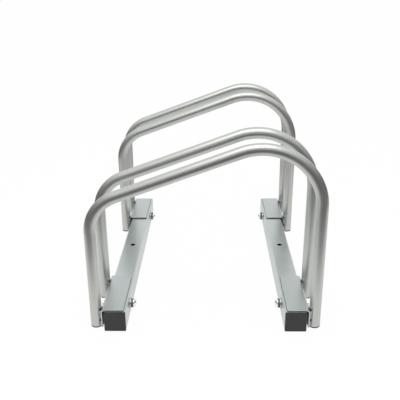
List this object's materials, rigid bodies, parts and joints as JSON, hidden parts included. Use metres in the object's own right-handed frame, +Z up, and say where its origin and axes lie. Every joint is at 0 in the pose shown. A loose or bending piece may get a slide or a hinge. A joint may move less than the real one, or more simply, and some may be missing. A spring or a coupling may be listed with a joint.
{
  "type": "floor bike rack",
  "caption": "Low floor rack that stands bicycles by one wheel between pairs of bent tube hoops, bolted by brackets to square base rails.",
  "frame": {"origin": "on the floor under the middle of the rack, at the bottom centre of its bounding box", "axes": "+Z up, +Y along the two base rails from the front pair of hoops to the rear pair, +X across the hoops from their low side to their high side"},
  "size_m": [0.32, 0.425, 0.266],
  "materials": {
    "hoop_tube": "satin zinc-plated steel tube",
    "rail_steel": "satin bright zinc plate",
    "bracket_steel": "satin bright zinc plate",
    "rail_plug_plastic": "moulded dark grey polyethylene",
    "foot_plug_plastic": "moulded black polyethylene",
    "bolt_zinc": "bright zinc plate",
    "cap_nut_chrome": "polished chrome plate",
    "weld_bead": "plated weld bead"
  },
  "bodies": {
    "root": {"rail_left": "rail_steel", "rail_right": "rail_steel", "rail_plug_front_left": "rail_plug_plastic", "rail_plug_front_right": "rail_plug_plastic", "rail_plug_rear_left": "rail_plug_plastic", "rail_plug_rear_right": "rail_plug_plastic", "bracket_front_left": "bracket_steel", "bracket_front_right": "bracket_steel", "bracket_rear_left": "bracket_steel", "bracket_rear_right": "bracket_steel", "hoop_1_front": "hoop_tube", "hoop_2_front": "hoop_tube", "hoop_3_rear": "hoop_tube", "hoop_4_rear": "hoop_tube", "foot_plug_1_left": "foot_plug_plastic", "foot_plug_1_right": "foot_plug_plastic", "foot_plug_2_left": "foot_plug_plastic", "foot_plug_2_right": "foot_plug_plastic", "foot_plug_3_left": "foot_plug_plastic", "foot_plug_3_right": "foot_plug_plastic", "foot_plug_4_left": "foot_plug_plastic", "foot_plug_4_right": "foot_plug_plastic", "bolt_front_left": "bolt_zinc", "bolt_front_right": "bolt_zinc", "bolt_rear_left": "bolt_zinc", "bolt_rear_right": "bolt_zinc", "washer_front_left": "bolt_zinc", "washer_front_right": "bolt_zinc", "washer_rear_left": "bolt_zinc", "washer_rear_right": "bolt_zinc", "cap_nut_front_left": "cap_nut_chrome", "cap_nut_front_right": "cap_nut_chrome", "cap_nut_rear_left": "cap_nut_chrome", "cap_nut_rear_right": "cap_nut_chrome", "welds_front_left": "weld_bead", "welds_front_right": "weld_bead", "welds_rear_left": "weld_bead", "welds_rear_right": "weld_bead"}
  },
  "joints": []
}
